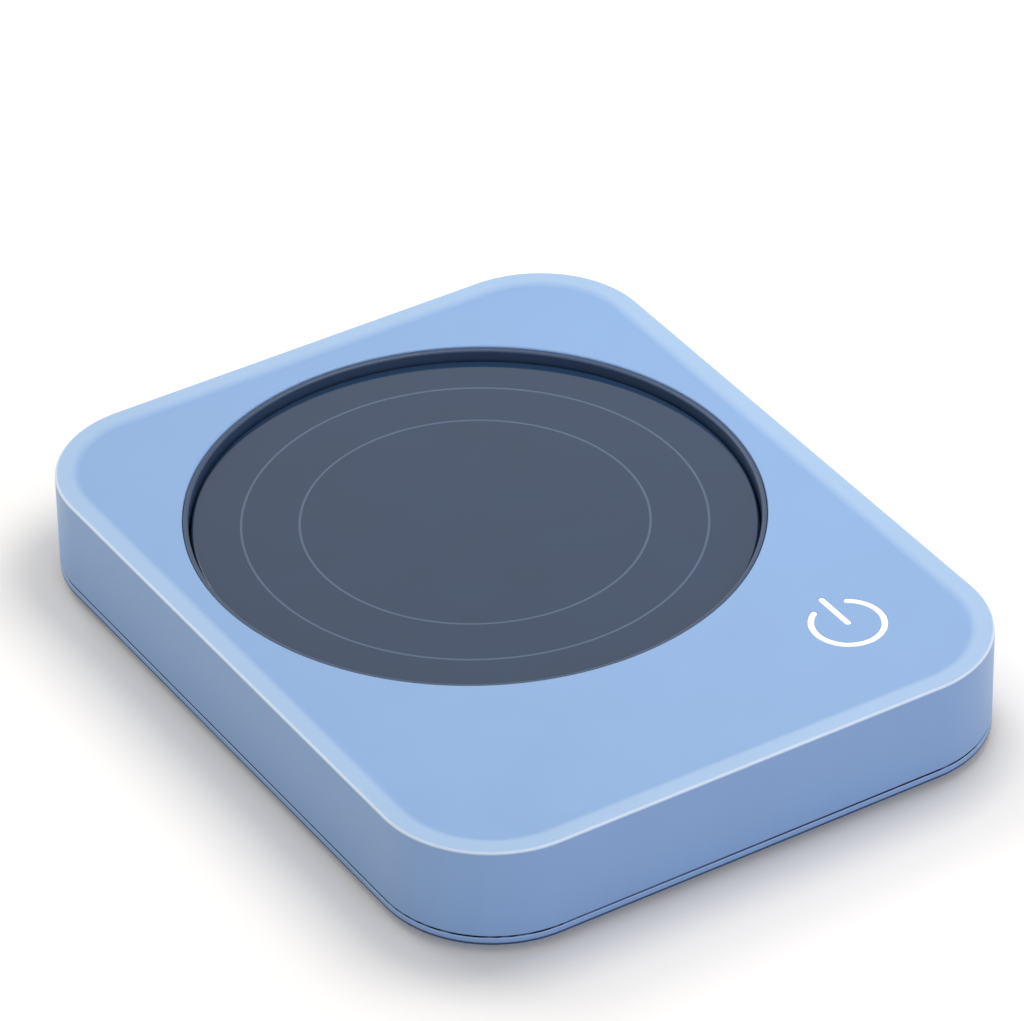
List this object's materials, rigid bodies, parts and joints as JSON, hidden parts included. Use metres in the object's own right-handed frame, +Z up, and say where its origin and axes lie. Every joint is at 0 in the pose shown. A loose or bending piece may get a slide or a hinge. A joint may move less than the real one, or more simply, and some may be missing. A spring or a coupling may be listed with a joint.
{
  "type": "electric mug warmer",
  "caption": "Flat round-cornered electric warmer with a round well for a mug, a heating plate that sinks on springs and works a weight switch, a touch key and a power inlet.",
  "frame": {"origin": "on the table, under the middle of the casing's outline", "axes": "+Z up, +X to the user's right, +Y towards the back edge where the inlet is; the front edge with the touch key is at -Y"},
  "size_m": [0.104, 0.13, 0.0183],
  "materials": {
    "body_blue": "satin moulded plastic",
    "slate_trim": "dark heat-resistant plastic, satin",
    "black_glass": "tempered glass printed dark from behind, polished",
    "icon_white": "white translucent light guide",
    "spreader_aluminium": "rolled, plain",
    "foil_metal": "etched foil",
    "mica": "pressed mica sheet",
    "foam": "silicone foam",
    "tray_plastic": "glass-filled plastic, matt",
    "steel": "zinc plated",
    "sensor_resin": "epoxy bead",
    "red_insulation": "silicone lead",
    "white_insulation": "thin signal lead",
    "black_insulation": "power lead",
    "switch_black": "moulded switch case",
    "switch_red": "moulded plunger",
    "board_green": "solder mask on glass laminate",
    "chip_black": "moulded package",
    "can_sleeve": "shrink sleeve",
    "led_lens": "clear lens",
    "connector_white": "moulded nylon",
    "socket_black": "moulded nylon",
    "foot_rubber": "soft rubber, matt"
  },
  "bodies": {
    "casing": {"top_housing": "body_blue", "bottom_cover": "body_blue", "well_ring": "slate_trim", "icon_lightguide": "icon_white", "plate_springs": "steel", "switch_body": "switch_black", "switch_terminals": "foil_metal", "lever_pin": "steel", "switch_leads": "white_insulation", "main_board": "board_green", "board_screws": "steel", "controller_chip": "chip_black", "power_transistor": "chip_black", "filter_capacitor": "can_sleeve", "buzzer": "socket_black", "status_led": "led_lens", "heater_connector": "connector_white", "signal_connector": "connector_white", "touch_spring": "steel", "inlet_socket": "socket_black", "inlet_pin": "steel", "inlet_contact": "foil_metal", "inlet_leads": "black_insulation", "cover_screws": "steel", "ring_screws": "steel", "rubber_feet": "foot_rubber"},
    "plate": {"heating_plate": "black_glass", "spreader_plate": "spreader_aluminium", "heater_foil": "foil_metal", "heater_backing": "mica", "insulation_pad": "foam", "plate_carrier": "tray_plastic", "carrier_screws": "steel", "thermistor": "sensor_resin", "thermal_fuse": "steel", "heater_leads": "red_insulation", "sensor_leads": "white_insulation"},
    "lever": {"switch_lever": "steel"},
    "plunger": {"switch_plunger": "switch_red"}
  },
  "joints": [
    {"name": "plate_travel", "type": "slide", "parent": "casing", "child": "plate", "axis": [0, 0, -1], "range_m": [0, 0.0008], "stiffness_N_per_m": 800, "springref_m": -0.0015, "deforming": ["plate_springs", "heater_leads", "sensor_leads"]},
    {"name": "lever_swing", "type": "hinge", "parent": "casing", "child": "lever", "pos_m": [-0.0056, -0.022, 0.009], "axis": [0, 1, 0], "range_deg": [0, 3.6]},
    {"name": "plunger_press", "type": "slide", "parent": "casing", "child": "plunger", "axis": [0, 0, -1], "range_m": [0, 0.00025]}
  ],
  "couplings": [
    {"joint": "lever_swing", "follows": "plate_travel", "rad_per_m": 76.923},
    {"joint": "plunger_press", "follows": "plate_travel", "ratio": 0.30769}
  ]
}
